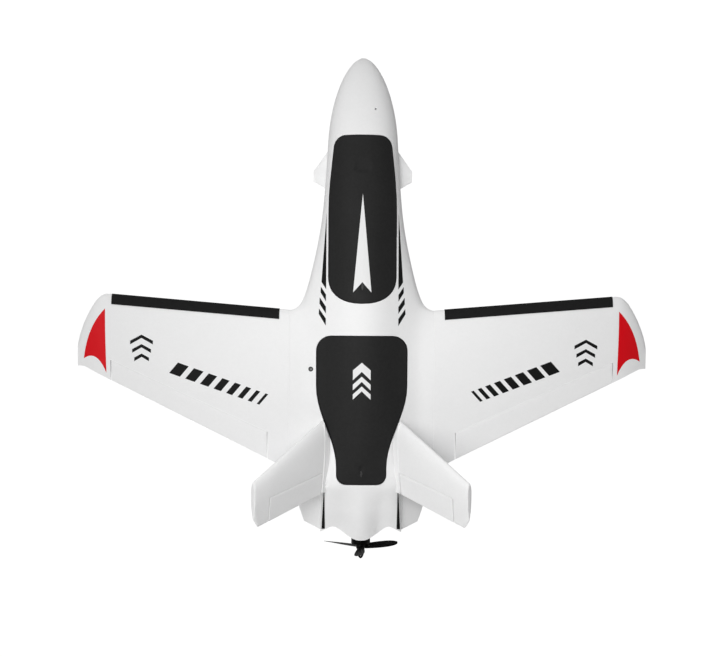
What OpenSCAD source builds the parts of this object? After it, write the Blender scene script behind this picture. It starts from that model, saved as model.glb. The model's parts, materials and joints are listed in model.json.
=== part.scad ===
// Radio-control flying wing: a moulded-foam blended body with plug-in wings, a V-tail and a pusher propeller.
// X runs along the span to the right wing tip, Y points to the nose, Z is up. Millimetres.
// The origin is on the flat belly face that the model rests on, straight below the main spar tube.
// Sub-parts are drawn about the spar tube's centre, and lifted() raises them by the belly's depth.

/* [Wing] */
// Tip to tip span
span = 850; // [840:5:855]
// Half-thickness of the wing as a share of its chord
wing_half_share = 0.055; // [0.05:0.0025:0.06]
// How far the moulded tip bends down
tip_droop = 12; // [4:2:18]
// Outer diameter of the main spar tube
spar_d = 10; // [8:1:10]
// Outer diameter of the rear spar tube
rear_spar_d = 6; // [4:1:6]

/* [Tail] */
// Angle of each tail fin above horizontal
fin_rise = 45; // [42:1:48]
// Angle of each ventral fin below horizontal
ventral_drop = 24; // [20:1:28]

/* [Controls] */
// Air gap between each control surface and its cove
cove_gap = 0.5; // [0.4:0.1:0.7]
// Crank length shared by the aileron servo arm and the aileron horn
aileron_crank = 13; // [12:0.5:14]
// Crank length shared by the ruddervator servo arm and horn
ruddervator_crank = 11.5; // [11:0.5:12]

/* [Drive] */
// Propeller tip circle
prop_d = 127; // [115:1:127]
// Outside diameter of the motor bell
bell_d = 28; // [27:0.5:28]
// Propeller blades
blades = 3; // [2:1:3]

/* [Fits] */
// Gap round a lift-off hatch
hatch_gap = 0.4; // [0.3:0.1:0.6]
// Gap at a glued or plugged joint
joint_gap = 0.1; // [0.05:0.05:0.2]
// Radial running clearance of pins in their holes
pin_clear = 0.06; // [0.03:0.01:0.09]

/* [Hidden] */
$fn = 48;

foam = [0.93, 0.93, 0.93];
black_foam = [0.12, 0.12, 0.12];
nylon = [0.16, 0.16, 0.17];
carbon = [0.09, 0.09, 0.10];
steel = [0.72, 0.73, 0.75];
magnet = [0.80, 0.80, 0.82];

// ---- planform of the right wing; the left one is its mirror image ----
half_span = span / 2;
root_x = 107;
root_le = 51.5;
root_te = -185.6;
root_hinge = -145.8;
le_slope = 0.0825;
te_slope = 0.494;
hinge_slope = 0.4515;
aileron_in = 140;
aileron_out = 372;
tip_start = 373.5;
tip_corner = 384;
tip_square_y = -1;
te_square_x = 415;
te_half = 0.8;
wing_crest = 0.36;

// ---- smoothing helpers ----
function mix(a, b, t) = a + (b - a) * t;
function unit(t) = min(1, max(0, t));
function ramp(v, a, b) = let (t = unit((v - a) / (b - a))) t * t * (3 - 2 * t);
function superellipse(u, n) = pow(max(0, 1 - pow(min(1, abs(u)), n)), 1 / n);
// Row of table t, whose first column rises, that v falls in.
function row(t, v, i = 0) = i >= len(t) - 2 || v <= t[i + 1][0] ? i : row(t, v, i + 1);
function tangent(t, i, c) = let (a = max(0, i - 1), b = min(len(t) - 1, i + 1))
    (t[b][c] - t[a][c]) / (t[b][0] - t[a][0]);
// Smooth curve through column c of a table.
function curve(t, v, c = 1) = let (
    i = row(t, v), h = t[i + 1][0] - t[i][0], s = unit((v - t[i][0]) / h), s2 = s * s, s3 = s2 * s)
    (2 * s3 - 3 * s2 + 1) * t[i][c] + (s3 - 2 * s2 + s) * h * tangent(t, i, c)
    + (3 * s2 - 2 * s3) * t[i + 1][c] + (s3 - s2) * h * tangent(t, i + 1, c);
function lengths(p) = [for (i = 0, s = 0; i < len(p);
    s = s + (i < len(p) - 1 ? norm(p[i + 1] - p[i]) : 0), i = i + 1) s];
// The same line with n points spaced evenly along it.
function even(p, n) = let (
    s = lengths(p), total = s[len(p) - 1],
    u = [for (i = [0:len(p) - 1]) [s[i], p[i][0]]],
    v = [for (i = [0:len(p) - 1]) [s[i], p[i][1]]])
    [for (k = [0:n - 1]) let (at = total * k / (n - 1)) [lookup(at, u), lookup(at, v)]];

function reversed(p) = [for (i = [len(p) - 1:-1:0]) p[i]];
function total(v) = [for (p = v) 1] * v;
// Whether a ring turns the wrong way round for a skin that runs in direction way.
function turned(r, way) = total([for (i = [1:len(r) - 2]) cross(r[i] - r[0], r[i + 1] - r[0])]) * way < 0;
// Solid skin over a list of rings that all have the same number of points. Every point of an end ring can be
// seen from its first point, unless thin is true: then its halves lie side by side with caps between them.
module loft(given, thin = false) {
    n = len(given[0]);
    m = len(given);
    rings = turned(given[0], total(given[m - 1]) - total(given[0])) ? [for (r = given) reversed(r)] : given;
    last = (m - 1) * n;
    polyhedron(
        points = [for (r = rings) for (p = r) p],
        faces = concat(
            thin ? thin_cap(n, 0) : [[for (i = [0:n - 1]) i]],
            thin ? [for (f = thin_cap(n, last)) reversed(f)] : [[for (i = [n - 1:-1:0]) last + i]],
            [for (j = [0:m - 2]) for (i = [0:n - 1]) let (a = j * n + i, b = j * n + (i + 1) % n)
                for (f = [[a, a + n, b], [b, a + n, b + n]]) f]));
}
function thin_cap(n, base) = [for (i = [0:n / 2 - 2]) let (a = base + i, b = base + n - 1 - i)
    for (f = [[a, a + 1, b], [a + 1, b - 1, b]]) f];

// Half-thickness of a lifting surface ahead of its hinge line: an elliptical nose up to the crest,
// then a parabola down to the hinge. q runs from 0 at the leading edge to 1 at the hinge.
function half_thick(q, crest, at_crest, at_hinge) = q < crest
    ? at_crest * sqrt(max(0, 1 - pow((crest - q) / crest, 2)))
    : at_crest - (at_crest - at_hinge) * pow((q - crest) / (1 - crest), 2);

// Closed section [y, z] of a lifting surface, from its leading edge over the top and back below.
function foil(le, hinge, te, at_crest, at_hinge, at_te, crest, n = 14) = let (
    q = [for (i = [1:n]) 1 - cos(90 * i / n)],
    top = concat([for (v = q) [mix(le, hinge, v), half_thick(v, crest, at_crest, at_hinge)]], [[te, at_te]]))
    concat([[le, 0]], top, [for (p = reversed(top)) [p[0], -p[1]]]);

// ---- wing ----
function wing_hinge(x) = root_hinge + (x - root_x) * hinge_slope;
function wing_te(x) = root_te + (min(x, te_square_x) - root_x) * te_slope;
function wing_le(x) = let (line = root_le + (min(x, tip_corner) - root_x) * le_slope)
    x <= tip_corner ? line
    : mix(tip_square_y, line, superellipse((x - tip_corner) / (half_span - tip_corner), 1.35));
function tip_share(x) = pow(unit((x - tip_start) / (half_span - tip_start)), 2);
function wing_crest_half(x) = let (inner = min(x, tip_start))
    mix(wing_half_share * (wing_le(inner) - wing_te(inner)), 2.4, tip_share(x));
function wing_hinge_half(x) = mix(mix(4.8, 3.3, (min(x, tip_start) - root_x) / (tip_start - root_x)),
    1.6, tip_share(x));
function wing_tip_hinge(x) = max(wing_te(x) + 6, min(wing_hinge(x), mix(wing_le(x), wing_te(x), 0.7)));
function wing_ring(x) = let (hinge = x > tip_start ? wing_tip_hinge(x) : wing_hinge(x))
    [for (p = foil(wing_le(x), hinge, wing_te(x), wing_crest_half(x), wing_hinge_half(x), te_half,
        wing_crest)) [x, p[0], p[1] - tip_droop * tip_share(x)]];

// Clearance body behind and around a hinge line: a cone section of radius r that opens to the rear.
// ends is [[x, hinge y, rear y, radius], ...].
module cove(ends, lean) {
    loft([for (e = ends) concat(
        [for (a = [90:15:270]) [e[0], e[1] - e[3] * cos(a) / cos(lean), e[3] * sin(a)]],
        [[e[0], e[2], -e[3]], [e[0], e[2], e[3]]])]);
}

// Control surface with a round nose about its hinge line, tapering to its trailing edge.
module flap(ends, lean) {
    loft([for (e = ends) concat(
        [for (a = [82:14:278]) [e[0], e[1] - e[3] * cos(a) / cos(lean), e[3] * sin(a)]],
        [[e[0], e[2], -te_half], [e[0], e[2], te_half]])]);
}

aileron_lean = atan(hinge_slope);
aileron_origin = [aileron_in, wing_hinge(aileron_in), 0];
module on_aileron_hinge() translate(aileron_origin) rotate([0, 0, aileron_lean]) children();
aileron_length = (aileron_out - aileron_in) / cos(aileron_lean);
aileron_hinge_spots = [20, aileron_length / 2 + 6, aileron_length - 20];
aileron_servo_at = [78, 58, -3.9];
end_gap = 0.9;
aileron_depth = 4.1;
rudder_depth = 4;

module wing_panel() color(foam) difference() {
    loft([for (x = concat([root_x + joint_gap, aileron_in, aileron_out, tip_start],
        [for (a = [8:10:88]) mix(tip_start, half_span, sin(a))], [half_span])) wing_ring(x)]);
    cove([for (x = [aileron_in - end_gap, aileron_out + end_gap])
        [x, wing_hinge(x), wing_te(x) - 20, wing_hinge_half(x) + cove_gap]], aileron_lean);
    translate([-1, 0, 0]) rotate([0, 90, 0]) cylinder(d = spar_d + 0.2, h = 262);
    translate([-1, rear_spar_y, 0]) rotate([0, 90, 0]) cylinder(d = rear_spar_d + 0.2, h = 172);
    on_aileron_hinge() {
        for (s = aileron_hinge_spots) translate([s, 0, 0]) leaf_slot(1);
        translate(aileron_servo_at) servo_pocket();
    }
}

module aileron() color(foam) difference() {
    flap([for (x = [aileron_in, aileron_out])
        [x, wing_hinge(x), wing_te(x), wing_hinge_half(x)]], aileron_lean);
    on_aileron_hinge() {
        for (s = aileron_hinge_spots) translate([s, 0, 0]) knuckle_slot();
        translate([aileron_servo_at[0], 0, 0]) horn_slot(aileron_depth);
    }
}

strip_in = 122.5;
strip_out = 371.5;
strip_chord = [15, 11];
strip_thick = 0.8;
strip_glue = 0.12;
// Point on the wing skin at distance d behind the leading edge, moved out by off; side is 1 above, -1 below.
function skin_point(x, d, side, off) = let (
    le = wing_le(x), reach = le - wing_hinge(x), c = wing_crest_half(x), h = wing_hinge_half(x), e = 0.02,
    z = half_thick(d / reach, wing_crest, c, h),
    ahead = half_thick(max(0, d - e) / reach, wing_crest, c, h),
    behind = half_thick((d + e) / reach, wing_crest, c, h),
    a = atan2(behind - ahead, d > e ? 2 * e : d + e))
    [x, le - d + off * sin(a), side * (z + off * cos(a))];
function strip_half(x, side, off, n = 9) = [for (i = [n:-1:1])
    skin_point(x, strip_chord[side > 0 ? 0 : 1] * pow(i / n, 2), side, off)];
function strip_side(x, off) = concat(strip_half(x, 1, off), [[x, wing_le(x) + off, 0]],
    reversed(strip_half(x, -1, off)));
// Thin protective strip wrapped round the leading edge.
module edge_strip() color(black_foam)
    loft([for (x = [strip_in:(strip_out - strip_in) / 4:strip_out])
        concat(strip_side(x, strip_glue + strip_thick), reversed(strip_side(x, strip_glue)))], thin = true);

// ---- fuselage: upper and lower shells meet on the parting plane ----
nose_y = 429.1;
nose_start = 300;
tail_y = -292;
deck_start = -207;
plate_half = 12.8;
shell_points = 15;
// Half-width, top and depth of the body at stations along Y.
body_table = [
    [-292, 60, 8, 8],
    [-268, 60, 10, 11],
    [-240, 58.7, 19, 20],
    [-215, 57.2, 28.5, 30],
    [-203, 57, 32, 37],
    [-150, 57, 37, 49],
    [-80, 57, 40, 57],
    [0, 57, 42, 60],
    [70, 57, 45, 60],
    [150, 57, 46.5, 60],
    [215, 56.2, 46, 58],
    [263, 53.6, 44, 54],
    [300, 51.9, 41, 49],
    [345, 51.6, 39, 46],
    [430, 51.6, 38, 45]];
// Half-width of the blended root outline ahead of the wing.
outline_table = [
    [51.5, 107], [53, 100.5], [56, 95.5], [61, 91], [67, 87.8], [75, 84.6], [85, 81.4], [100, 77.3],
    [120, 72.6], [145, 67.2], [168, 63], [192, 59.6], [215, 57.4], [240, 55.3], [263, 53.8], [300, 51.9]];
// Reach of the hump's foot above, and of the belly pod's foot below.
foot_table = [[-210, 64, 58], [-182, 82, 60], [-150, 91, 68], [-100, 92, 82], [0, 88, 88], [51.5, 86, 88]];
// Height of the motor pod above the deck, and its depth below, on the centre line.
pod_table = [[-292, 13.5, 5.5], [-268, 13, 5], [-240, 8, 3], [-215, 1.5, 0.5], [-203, 0, 0]];
pod_reach = 31;

function nose_share(y, p, q) = y < nose_start ? 1
    : pow(max(0, 1 - pow((y - nose_start) / (nose_y - nose_start), p)), 1 / q);
function body_w(y) = curve(body_table, y, 1) * nose_share(y, 1.7, 1.8);
function body_top(y) = curve(body_table, y, 2) * nose_share(y, 1.9, 1.8);
function body_depth(y) = curve(body_table, y, 3) * nose_share(y, 1.9, 1.8);
// The parting line droops a little towards the nose.
function body_rise(y) = y < 250 ? 0 : -11 * pow((y - 250) / (nose_y - 250), 2);
function outer_w(y) = y > nose_start ? body_w(y)
    : y > root_le ? max(body_w(y), curve(outline_table, y))
    : y > root_te ? root_x
    : max(body_w(y), root_x + (y - root_te) / te_slope);
outline_back = [for (i = [len(outline_table) - 1:-1:0]) [outline_table[i][1], outline_table[i][0]]];
function root_le_at(x) = x >= root_x ? wing_le(x) : lookup(x, outline_back);
// Half-thickness of the wing root where it runs through the body.
function plate(x, y) = let (
    le = root_le_at(x), hinge = wing_hinge(x), te = wing_te(x),
    t = y >= le || y <= te ? 0
        : y > hinge ? half_thick((le - y) / (le - hinge), wing_crest, plate_half, 4.8)
        : mix(te_half, 4.8, (y - te) / (hinge - te)))
    t * (1 - ramp(y, 90, 215));
function blend(y) = (1 - ramp(y, 70, 225)) * ramp(y, deck_start, -150);
function hump(x, reach, n) = pow(1 - pow(min(1, x / reach), n), 2);
function squareness(y) = mix(5, 2.25, ramp(y, -150, 60));
// Height of the upper skin above the parting line at half-span x.
function upper_z(x, y) = let (
    high = body_top(y) - plate(0, y),
    foot = y > root_le ? min(outer_w(y), 86) : curve(foot_table, y, 1),
    round_w = y > 0 ? outer_w(y) : body_w(y),
    pod = y < -203 ? curve(pod_table, y, 1) * hump(x, pod_reach, 2) : 0)
    max(0.25, plate(x, y) + pod
        + high * mix(superellipse(x / round_w, squareness(y)), hump(x, foot, 2.1), blend(y)));
function lower_z(x, y) = let (
    deep = body_depth(y) - plate(0, y),
    foot = y > root_le ? min(outer_w(y), 88) : curve(foot_table, y, 2),
    round_w = y > 0 ? outer_w(y) : body_w(y),
    pod = y < -203 ? curve(pod_table, y, 2) * hump(x, pod_reach, 2) : 0)
    max(0.25, plate(x, y) + pod
        + deep * mix(superellipse(x / round_w, squareness(y) + 0.5), hump(x, foot, 5), blend(y)));
function half_line(y, up) = let (
    w = outer_w(y),
    dense = [for (a = [0:1.5:90]) let (x = w * sin(a)) [x, up ? upper_z(x, y) : lower_z(x, y)]])
    even(dense, shell_points);
function shell_ring(y, up) = let (h = half_line(y, up), s = up ? 1 : -1, z = body_rise(y), n = shell_points)
    concat([[outer_w(y), y, z]],
        [for (i = [n - 1:-1:0]) [h[i][0], y, z + s * h[i][1]]],
        [for (i = [1:n - 1]) [-h[i][0], y, z + s * h[i][1]]],
        [[-outer_w(y), y, z]]);
stations = concat(
    [for (a = [89, 84, 77, 69, 60, 51, 42, 33, 24, 15, 6]) nose_start + (nose_y - nose_start) * sin(a)],
    [for (y = [300:-20:100]) y], [88, 79, 72, 66, 61, 57, 54, 52.4],
    [51.5, 50.8, 49.5, 47.5, 44.5, 40, 34, 26, 15, 0], [for (y = [-18:-18:-126]) y],
    [root_hinge, -155, -165, -175, root_te + 0.1, -189, -193, -197, -202, -207, -215, -225, -235, -245],
    [-256, -268, -280, tail_y]);
module shell(up) loft([for (y = stations) shell_ring(y, up)]);

// Plan outline of what is cut away behind the zigzag trailing edge of the deck.
tail_zigzag = [[0, -286.4], [8, -285.7], [14, -283.4], [22, -279], [32, -272.3], [38, -268.5], [43, -268],
    [60, -277], [61, -277]];
module tail_trim() for (s = [0, 1]) mirror([s, 0, 0])
    translate([0, 0, -60]) linear_extrude(120)
        polygon(concat([[-0.01, -300], [-0.01, -286.4]], tail_zigzag, [[75, -277], [75, -300]]));

// Hollow bays: half-width, top and floor at stations along Y.
front_bay = [[292, 33, 27, -37], [262, 37.5, 34, -45], [200, 43.5, 37.5, -50], [110, 43.5, 37, -51],
    [82, 40, 34, -50]];
rear_bay = [[-9, 40, 24, -50], [-70, 40, 24, -49], [-120, 34, 22, -42], [-185, 24, 18, -27]];
module bay(table) loft([for (r = table)
    [for (a = [0:15:345]) [r[1] * sign(cos(a)) * pow(abs(cos(a)), 0.5), r[0],
        mix(r[3], r[2], (1 + sign(sin(a)) * pow(abs(sin(a)), 0.5)) / 2)]]]);

// ---- hatches ----
front_hatch_y = [60.4, 305.1];
front_hatch_half = [42.6, 49.8];
front_seat = 10;
rear_hatch_y = [-203.4, 13.7];
rear_hatch_half = [36.4, 67];
rear_seat = 9;
function arc2(c, r, a0, a1, n = 7) = [for (i = [0:n]) let (a = mix(a0, a1, i / n)) c + r * [cos(a), sin(a)]];
function mirrored(p) = concat(p, [for (i = [len(p) - 1:-1:0]) [-p[i][0], p[i][1]]]);
// Right half of the front outline: rounded front corner, gently widening side, elliptical rear end.
front_half_outline = concat(
    [[0, front_hatch_y[1]]],
    arc2([front_hatch_half[0] - 17, front_hatch_y[1] - 17], 17, 90, 8),
    [for (t = [0.25:0.25:1])
        [mix(front_hatch_half[0] + 0.6, front_hatch_half[1], sin(90 * t)), mix(281, 195, t)]],
    [for (a = [0:9:90])
        [front_hatch_half[1] * superellipse(sin(a), 2.3), mix(101, front_hatch_y[0], sin(a))]]);
rear_waist_y = [-60, -180];
rear_half_outline = concat(
    [[0, rear_hatch_y[1]]],
    arc2([rear_hatch_half[1] - 22, rear_hatch_y[1] - 22], 22, 90, 0),
    [for (v = [0:0.1:1])
        [mix(rear_hatch_half[0], rear_hatch_half[1] - 0.2, (1 + cos(180 * v)) / 2),
            mix(rear_waist_y[0], rear_waist_y[1], v)]],
    arc2([rear_hatch_half[0] - 14, rear_hatch_y[0] + 14], 14, 0, -90));
module prism(outline, grow, from) translate([0, 0, from]) linear_extrude(90)
    offset(delta = grow) polygon(mirrored(outline));

magnet_r = 4;
magnet_h = 2;
front_magnets = [[22, 298.5], [-22, 298.5], [13, 71], [-13, 71]];
rear_magnets = [[44, 6], [-44, 6], [16, -194], [-16, -194]];
module magnet_discs(spots, z) for (p = spots) translate([p[0], p[1], z]) cylinder(r = magnet_r, h = magnet_h);
module magnet_holes(spots, z) for (p = spots) translate([p[0], p[1], z])
    cylinder(r = magnet_r + 0.1, h = magnet_h + 0.2);

module front_hatch() color(black_foam) difference() {
    intersection() {
        shell(true);
        prism(front_half_outline, 0, front_seat);
    }
    bay(front_bay);
    magnet_holes(front_magnets, front_seat - 0.1);
    translate([0, 263, body_top(263) - 1.3 + 20]) cube([22.5, 22.5, 40], center = true);
    translate([0, 84, body_top(84) - 1.5]) nail_slot(3.6, 11);
}
module rear_hatch() color(black_foam) difference() {
    intersection() {
        shell(true);
        prism(rear_half_outline, 0, rear_seat);
    }
    bay(rear_bay);
    magnet_holes(rear_magnets, rear_seat - 0.1);
    translate([0, -182, body_top(-182) - 1.5]) nail_slot(3.6, 13);
}
module nail_slot(w, l) hull() for (s = [-1, 1]) translate([0, s * (l - w) / 2, 0]) cylinder(d = w, h = 12);

seat_drop = 0.3;
module fuselage_upper_shell() color(foam) difference() {
    union() {
        shell(true);
        for (s = [0, 1]) mirror([s, 0, 0]) fin_stub();
    }
    tail_trim();
    bay(front_bay);
    bay(rear_bay);
    prism(front_half_outline, hatch_gap, front_seat - seat_drop);
    prism(rear_half_outline, hatch_gap, rear_seat - seat_drop);
    magnet_holes(front_magnets, front_seat - seat_drop - magnet_h - 0.1);
    magnet_holes(rear_magnets, rear_seat - seat_drop - magnet_h - 0.1);
    body_bores();
    translate([grommet_at[0], grommet_at[1], grommet_floor]) cylinder(r = 3.6, h = 40);
    translate([grommet_at[0], grommet_at[1], grommet_floor + 2]) rotate([0, 90, 0]) cylinder(r = 1.8, h = 40);
    translate([18, 344.5, 20]) cylinder(r = 1.4, h = 40);
}
module fuselage_lower_shell() color(foam) difference() {
    union() {
        shell(false);
        for (s = [0, 1]) mirror([s, 0, 0]) ventral_stub();
    }
    tail_trim();
    bay(front_bay);
    bay(rear_bay);
    body_bores();
    translate([0, skid_y, -60.2]) cube([skid_w + 0.6, skid_l + 0.6, 2.4], center = true);
}
rear_spar_y = -85;
// Round passages through the foam: both spars, the cable duct and the motor bay.
module body_bores() {
    translate([-root_x - 1, 0, 0]) rotate([0, 90, 0]) cylinder(d = spar_d + 0.2, h = 2 * root_x + 2);
    translate([-root_x - 1, rear_spar_y, 0]) rotate([0, 90, 0])
        cylinder(d = rear_spar_d + 0.2, h = 2 * root_x + 2);
    translate([0, -12, 14]) rotate([-90, 0, 0]) cylinder(r = 7, h = 100);
    translate([0, -180, shaft_z]) rotate([90, 0, 0]) cylinder(r = 9, h = 92);
    translate([0, mount_y + 4, shaft_z]) rotate([90, 0, 0]) cylinder(r = 12.8, h = 10);
    translate([0, mount_y + 0.05, shaft_z]) rotate([90, 0, 0]) cylinder(r = bell_d / 2 + 1.2, h = 40);
}

module seat_magnets() color(magnet) {
    magnet_discs(front_magnets, front_seat - seat_drop - magnet_h);
    magnet_discs(rear_magnets, rear_seat - seat_drop - magnet_h);
}
module front_hatch_magnets() color(magnet) magnet_discs(front_magnets, front_seat);
module rear_hatch_magnets() color(magnet) magnet_discs(rear_magnets, rear_seat);

grommet_at = [-75, -35.6];
grommet_floor = 9;
module antenna_grommet() color(nylon) translate([grommet_at[0], grommet_at[1], 0]) difference() {
    translate([0, 0, grommet_floor + 0.1]) cylinder(r = 3.5, h = upper_z(75, -35.6) - grommet_floor + 0.9);
    translate([0, 0, grommet_floor - 1]) cylinder(r = 1.9, h = 40);
}

module main_spar_tube() color(carbon) rotate([0, 90, 0]) difference() {
    cylinder(d = spar_d, h = 518, center = true);
    cylinder(d = spar_d - 2, h = 520, center = true);
}
module rear_spar_tube() color(carbon) translate([0, rear_spar_y, 0]) rotate([0, 90, 0]) difference() {
    cylinder(d = rear_spar_d, h = 338, center = true);
    cylinder(d = rear_spar_d - 2, h = 340, center = true);
}

skid_y = 70;
skid_w = 36;
skid_l = 190;
skid_r = 12;
skid_face = -61.2;
module belly_skid_plate() color(nylon) translate([0, skid_y, skid_face]) {
    for (cut = [[0, skid_r], [skid_r, 0]]) translate([cut[0] - skid_w / 2, cut[1] - skid_l / 2, 0])
        cube([skid_w - 2 * cut[0], skid_l - 2 * cut[1], 2.1]);
    for (i = [-1, 1]) for (j = [-1, 1]) translate([i * (skid_w / 2 - skid_r), j * (skid_l / 2 - skid_r), 0])
        cylinder(r = skid_r, h = 2.1);
}

// ---- canards ----
canard_z = -5;
module canard() color(foam) translate([0, 0, canard_z]) {
    root = [for (p = foil(292, 249, 232, 2, 1.5, 0.5, 0.4, 6)) [50.4 + (292 - p[0]) * 0.07, p[0], p[1]]];
    mid = [for (p = foil(259.6, 246, 240, 1.3, 1, 0.5, 0.4, 6)) [71.6, p[0] + 1.8, p[1]]];
    tip = [for (p = foil(259.6, 247.5, 243, 1.2, 0.9, 0.5, 0.4, 6)) [73.4, p[0], p[1]]];
    loft([root, mid, tip]);
}

// ---- tail fins: u runs up the span of a fin, in the fin's own plane ----
fin_foot = [56, 0, 25];
fin_cut = 2;
fin_tip = 135;
fin_le_root = -109;
fin_le_slope = -0.598;
fin_te_root = -216.2;
fin_te_slope = -0.274;
fin_hinge_root = -187.8;
fin_hinge_slope = -0.242;
fin_chamfer_u = 122.5;
fin_crest = 0.36;
rudder_in = 4.5;
rudder_out = 103;
module in_fin_plane() translate(fin_foot) rotate([0, -fin_rise, 0]) children();
function fin_le(u) = fin_le_root + fin_le_slope * u;
function fin_hinge(u) = fin_hinge_root + fin_hinge_slope * u;
function fin_te(u) = fin_te_root + fin_te_slope * min(u, fin_chamfer_u)
    + (u > fin_chamfer_u ? 1.4 * (u - fin_chamfer_u) : 0);
function fin_crest_half(u) = mix(7.3, 5.8, u / fin_tip) - 1.6 * ramp(u, rudder_out, fin_tip);
function fin_hinge_half(u) = mix(4.3, 3.9, u / fin_tip);
function fin_ring(u) = let (tip = u > fin_chamfer_u)
    [for (p = foil(fin_le(u), tip ? mix(fin_te(u), fin_le(u), 0.3) : fin_hinge(u), fin_te(u),
        fin_crest_half(u), fin_hinge_half(u), te_half, fin_crest)) [u, p[0], p[1]]];
rudder_lean = atan(fin_hinge_slope);
rudder_origin = [rudder_in, fin_hinge(rudder_in), 0];
module on_rudder_hinge() in_fin_plane() translate(rudder_origin) rotate([0, 0, rudder_lean]) children();
rudder_length = (rudder_out - rudder_in) / cos(rudder_lean);
rudder_hinge_spots = [10, rudder_length - 10];
rudder_servo_at = [55.8, 27, -1.8];

module fin_stub() in_fin_plane() loft([fin_ring(-6), fin_ring(fin_cut - joint_gap)]);
module tail_fin() color(foam) difference() {
    in_fin_plane() difference() {
        loft([for (u = [fin_cut, rudder_in, rudder_out, fin_chamfer_u, fin_tip - 4]) fin_ring(u)]);
        cove([for (u = [rudder_in - end_gap, rudder_out + end_gap])
            [u, fin_hinge(u), fin_te(u) - 20, fin_hinge_half(u) + cove_gap]], rudder_lean);
    }
    on_rudder_hinge() {
        for (s = rudder_hinge_spots) translate([s, 0, 0]) leaf_slot(1);
        translate(rudder_servo_at) servo_pocket();
    }
}
module ruddervator() color(foam) difference() {
    in_fin_plane() flap([for (u = [rudder_in, rudder_out])
        [u, fin_hinge(u), fin_te(u), fin_hinge_half(u)]], rudder_lean);
    on_rudder_hinge() {
        for (s = rudder_hinge_spots) translate([s, 0, 0]) knuckle_slot();
        translate([rudder_servo_at[0], 0, 0]) horn_slot(rudder_depth);
    }
}

// ---- ventral fins ----
ventral_foot = [57.1, 0, -5];
ventral_cut = 4;
ventral_tip = 37.7;
ventral_tip_slope = 0.35;
module in_ventral_plane() translate(ventral_foot) rotate([0, ventral_drop, 0]) children();
// Ring at distance u from the body; the tip's end face leans by slope.
function ventral_ring(u, slope = 0) = let (
    t = u / ventral_tip, le = mix(-196, -232, t), te = mix(-276.4, -265, t),
    ring = foil(le, mix(te, le, 0.4), te, mix(3.6, 2.6, t), mix(2.6, 2, t), te_half, 0.5, 8))
    [for (p = ring) [u + slope * (p[0] + 245.5), p[0], p[1]]];
// The stub stays below the parting plane of the shells.
module ventral_stub() difference() {
    in_ventral_plane() loft([ventral_ring(-6), ventral_ring(ventral_cut - joint_gap)]);
    translate([0, tail_y, 0]) cube([ventral_foot[0] + 10, 120, 20]);
}
module ventral_fin() color(foam) in_ventral_plane()
    loft([ventral_ring(ventral_cut), ventral_ring(ventral_tip, ventral_tip_slope)]);

// ---- pinned nylon hinges, drawn about the hinge line with X along it ----
leaf_w = 11;
leaf_l = 13;
leaf_t = 0.8;
knuckle_r = 1.8;
hinge_pin_r = 0.6;
knuckle_split = 2;
module knuckle(from, to, r) translate([from, 0, 0]) rotate([0, 90, 0])
    cylinder(r = r, h = to - from, $fn = 32);
module hinge_bracket() {
    for (s = [-1, 1]) {
        difference() {
            if (s > 0) knuckle(knuckle_split + 0.1, leaf_w / 2, knuckle_r);
            else knuckle(-leaf_w / 2, -knuckle_split - 0.1, knuckle_r);
            knuckle(-leaf_w, leaf_w, hinge_pin_r);
        }
        translate([s * (knuckle_split + 0.1 + leaf_w / 2) / 2, 2.1, 0])
            cube([leaf_w / 2 - knuckle_split - 0.1, 1.6, leaf_t], center = true);
    }
    translate([0, 2.6 + (leaf_l - 2.6) / 2, 0]) cube([leaf_w, leaf_l - 2.6, leaf_t], center = true);
    knuckle(-leaf_w / 2 - 0.3, leaf_w / 2 + 0.3, hinge_pin_r);
}
module hinge_leaf() {
    difference() {
        knuckle(-knuckle_split + 0.1, knuckle_split - 0.1, knuckle_r);
        knuckle(-leaf_w, leaf_w, hinge_pin_r + pin_clear);
    }
    translate([0, -2.1, 0]) cube([2 * knuckle_split - 0.2, 1.6, leaf_t], center = true);
    translate([0, -2.6 - (leaf_l - 2.6) / 2, 0]) cube([leaf_w, leaf_l - 2.6, leaf_t], center = true);
}
// Slot for a glued leaf, ahead of the hinge line for side 1.
module leaf_slot(side) translate([0, side * (leaf_l + 0.4) / 2, 0])
    cube([leaf_w + 0.3, leaf_l + 0.4, leaf_t + 0.3], center = true);
// Opening in a control surface's nose that clears the knuckles and the fixed leaf through the throw.
module knuckle_slot() {
    translate([0, 1.9, 0]) cube([leaf_w + 1.6, 9, 4.7], center = true);
    leaf_slot(-1);
}

// ---- servos: origin on the output shaft, which points along X; the arm hangs down ----
servo_case = [22.7, 23, 12.2];
shaft_inset = 6.1;
servo_head = 3.4;
module servo_body(grow) {
    translate([-servo_head - servo_case[0] / 2, servo_case[1] / 2 - shaft_inset, 0])
        cube(servo_case + [2, 2, 2] * grow, center = true);
    translate([-servo_head - 5.3, servo_case[1] / 2 - shaft_inset, 0])
        cube([2.5 + 2 * grow, 32.2 + 2 * grow, servo_case[2] + 2 * grow], center = true);
}
module servo() {
    color([0.10, 0.14, 0.32]) difference() {
        union() {
            servo_body(0);
            translate([-servo_head - 0.5, 0, 0]) rotate([0, 90, 0]) cylinder(r = 5.6, h = 1.9);
            translate([-servo_head - 0.5, 6, 0]) rotate([0, 90, 0]) cylinder(r = 2.6, h = 1.4);
        }
        for (v = [-1, 1]) translate([-servo_head - 8, servo_case[1] / 2 - shaft_inset + v * 13.9, 0])
            rotate([0, 90, 0]) cylinder(r = 1, h = 6, $fn = 24);
        translate([-2.1, 0, 0]) rotate([0, 90, 0]) cylinder(r = 2.4, h = 3);
    }
    color(steel) translate([-2.2, 0, 0]) rotate([0, 90, 0]) cylinder(r = 2.3, h = 3.6, $fn = 24);
}
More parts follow.
